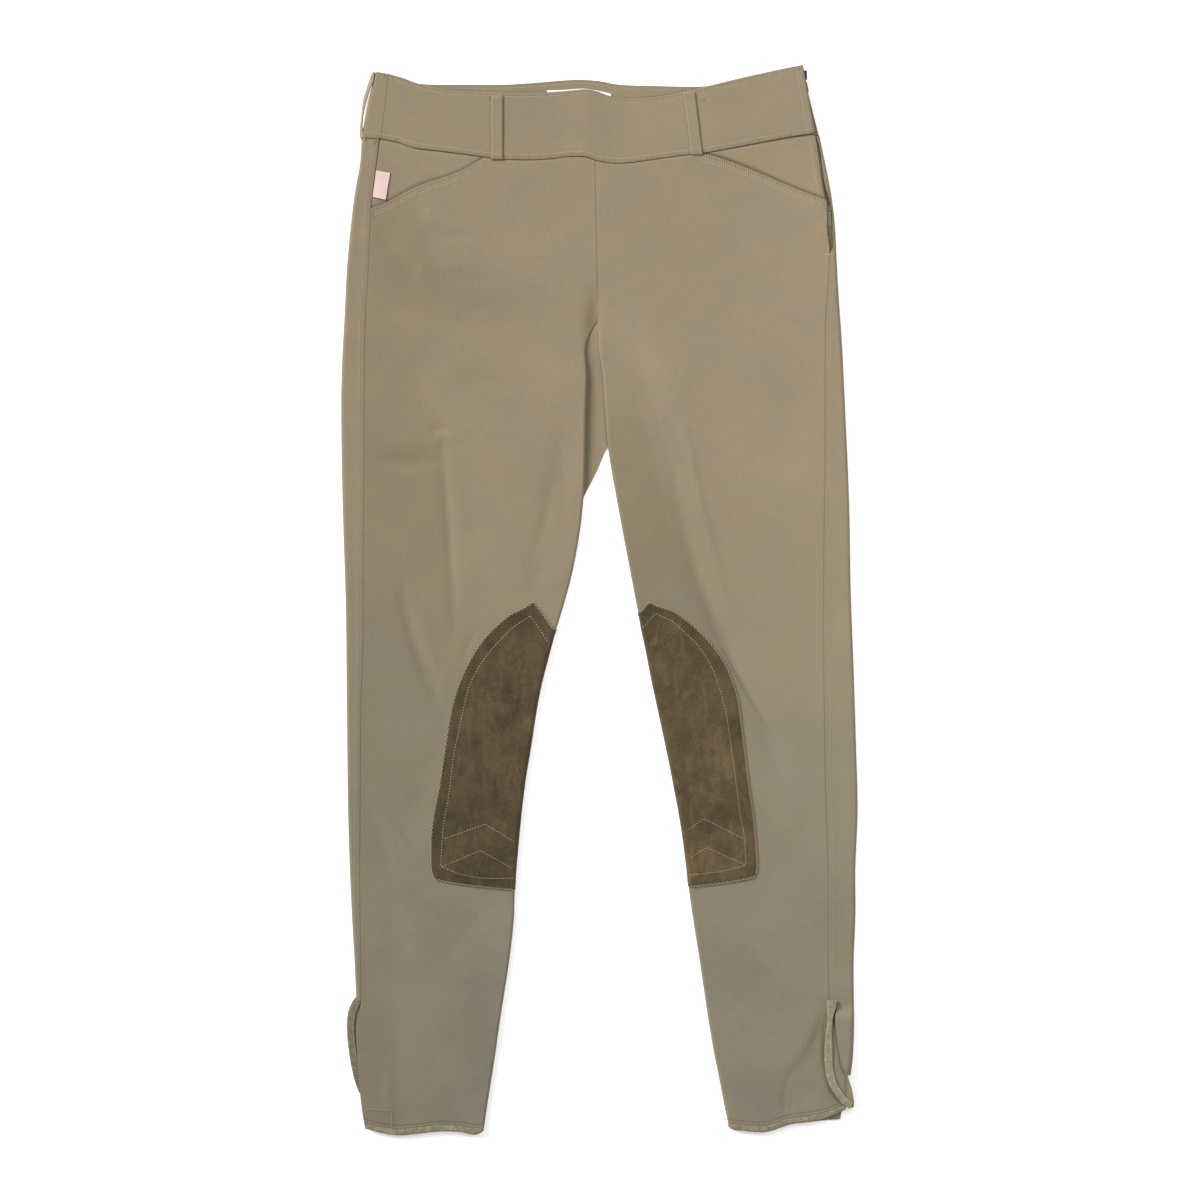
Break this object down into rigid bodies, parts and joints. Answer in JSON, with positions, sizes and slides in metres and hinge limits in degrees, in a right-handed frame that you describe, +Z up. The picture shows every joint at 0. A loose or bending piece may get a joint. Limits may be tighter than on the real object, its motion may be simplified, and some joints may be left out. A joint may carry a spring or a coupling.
{
  "type": "riding breeches",
  "caption": "Riding breeches laid flat with the front up: suede knee patches, waistband with belt loops, slant pockets, side zip and bound ankle slits.",
  "frame": {"origin": "centre of the bounding box's underside, on the surface the breeches lie on", "axes": "+X to the wearer's left, +Y from the hems towards the waist, +Z up from the surface; the front of the breeches is up"},
  "size_m": [0.4912, 1.0168, 0.0114],
  "materials": {
    "cloth": "matte stretch twill",
    "suede": "brushed suede",
    "binding": "matte woven tape",
    "label": "smooth woven",
    "zip_tape": "matte woven tape",
    "zip_metal": "satin paint",
    "hook_metal": "dark nickel"
  },
  "bodies": {
    "breeches": {"front_leg_right": "cloth", "front_leg_left": "cloth", "back_leg_right": "cloth", "back_leg_left": "cloth", "waistband_front": "cloth", "waistband_back": "cloth", "pocket_facing_right": "cloth", "pocket_facing_left": "cloth", "belt_loop_front_right": "cloth", "belt_loop_front_left": "cloth", "belt_loop_side_right": "cloth", "belt_loop_side_left": "cloth", "belt_loop_back": "cloth", "knee_patch_front_right": "suede", "knee_patch_front_left": "suede", "knee_patch_back_right": "suede", "knee_patch_back_left": "suede", "hem_binding_front_right": "binding", "hem_binding_front_left": "binding", "hem_binding_back_right": "binding", "hem_binding_back_left": "binding", "ankle_flap_right": "cloth", "ankle_flap_left": "cloth", "slit_binding_right": "binding", "slit_binding_left": "binding", "zip_tape_front": "zip_tape", "zip_tape_back": "zip_tape", "zip_chain": "zip_tape", "zip_slider": "zip_metal", "waist_hook": "hook_metal", "waist_bar": "hook_metal", "side_label": "label", "inside_label": "label"},
    "zip_pull": {"zip_pull": "zip_metal"}
  },
  "joints": [
    {"name": "zip_pull_hinge", "type": "hinge", "parent": "breeches", "child": "zip_pull", "pos_m": [0.2179, 0.3712, 0.005], "axis": [-1, 0, 0], "range_deg": [0, 130]}
  ]
}
